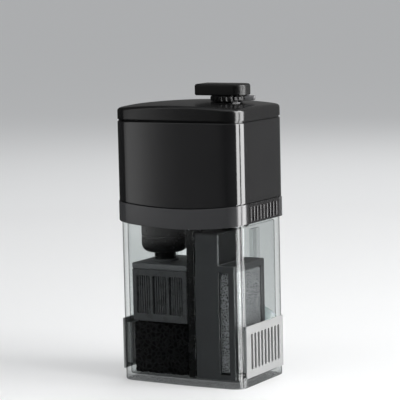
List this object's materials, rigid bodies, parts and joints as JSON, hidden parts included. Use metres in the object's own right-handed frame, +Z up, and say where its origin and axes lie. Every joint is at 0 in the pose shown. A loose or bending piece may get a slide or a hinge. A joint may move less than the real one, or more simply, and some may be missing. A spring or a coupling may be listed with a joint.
{
  "type": "internal power filter",
  "caption": "Submersible aquarium filter: a dark pump head that lifts off a clear media canister, with a swivelling outlet spout, a flow dial and suction cups.",
  "frame": {"origin": "centre of the canister's flat base, on the surface it stands on, midway between its sides and between its front and back walls", "axes": "+Z up; -Y is the front, seen through the clear canister; +X is the right, on the outlet's side; the suction cups face +Y"},
  "size_m": [0.0452, 0.0382, 0.0917],
  "materials": {
    "clear_plastic": "clear moulded polystyrene, glossy",
    "grille_plastic": "light-grey moulded plastic, satin",
    "black_plastic": "black ABS, satin gloss",
    "coarse_foam": "black open-cell filter foam",
    "grey_plastic": "dark grey moulded plastic",
    "light_grey_plastic": "mid-grey moulded plastic",
    "carbon": "granular activated carbon",
    "fine_foam": "grey fine-pored filter foam",
    "seal_rubber": "black rubber",
    "cup_rubber": "translucent soft PVC",
    "head_plastic": "charcoal ABS, satin gloss",
    "collar_plastic": "dark grey ABS, satin",
    "core_steel": "stacked silicon steel sheets",
    "nylon": "off-white nylon",
    "copper": "enamelled copper wire",
    "wire_plastic": "blue PVC insulation",
    "shaft_ceramic": "polished ceramic",
    "screw_steel": "stainless steel",
    "magnet": "coated ferrite",
    "spout_plastic": "black ABS, glossy"
  },
  "bodies": {
    "canister_body": {"canister": "clear_plastic", "intake_grille_left": "grille_plastic", "intake_grille_right": "grille_plastic", "divider": "black_plastic", "coarse_foam": "coarse_foam", "seal_ring": "seal_rubber", "lower_cup_left": "cup_rubber", "lower_cup_right": "cup_rubber"},
    "cartridge": {"cartridge_case": "grey_plastic", "cartridge_lid": "light_grey_plastic", "carbon_fill": "carbon"},
    "cassette": {"cassette_frame": "grey_plastic", "fine_foam": "fine_foam"},
    "pump_head": {"head_shell": "head_plastic", "head_lid": "black_plastic", "collar": "collar_plastic", "chamber_body": "black_plastic", "chamber_cover": "black_plastic", "chamber_seal": "seal_rubber", "motor_case": "head_plastic", "motor_cap": "grey_plastic", "stator_core": "core_steel", "coil_bobbin": "nylon", "coil_winding": "copper", "lead_wires": "wire_plastic", "upper_bush": "seal_rubber", "lower_bush": "seal_rubber", "impeller_shaft": "shaft_ceramic", "riser_tube": "black_plastic", "cord_grommet": "seal_rubber", "plate_screws": "screw_steel", "upper_cup_left": "cup_rubber", "upper_cup_right": "cup_rubber"},
    "rotor": {"rotor_magnet": "magnet", "impeller": "nylon"},
    "dial": {"flow_dial": "spout_plastic", "flow_gate": "nylon"},
    "outlet": {"spout": "spout_plastic", "spout_seal": "seal_rubber"}
  },
  "joints": [
    {"name": "head_lift", "type": "slide", "parent": "canister_body", "child": "pump_head", "axis": [0, 0, 1], "range_m": [0, 0.025]},
    {"name": "cartridge_lift", "type": "slide", "parent": "canister_body", "child": "cartridge", "axis": [0, 0, 1], "range_m": [0, 0.02]},
    {"name": "cassette_lift", "type": "slide", "parent": "canister_body", "child": "cassette", "axis": [0, 0, 1], "range_m": [0, 0.02]},
    {"name": "rotor_spin", "type": "hinge", "parent": "pump_head", "child": "rotor", "pos_m": [-0.0114, -0.0026, 0.057], "axis": [0, 0, 1], "continuous": true},
    {"name": "dial_turn", "type": "hinge", "parent": "pump_head", "child": "dial", "pos_m": [0.0102, 0.0008, 0.0872], "axis": [0, 0, 1], "range_deg": [0, 90]},
    {"name": "spout_swivel", "type": "hinge", "parent": "pump_head", "child": "outlet", "pos_m": [0.0102, 0.0008, 0.0899], "axis": [0, 0, 1], "range_deg": [-90, 90]}
  ],
  "couplings": [
    {"joint": "cartridge_lift", "follows": "head_lift", "ratio": 0.8},
    {"joint": "cassette_lift", "follows": "head_lift", "ratio": 0.8}
  ]
}
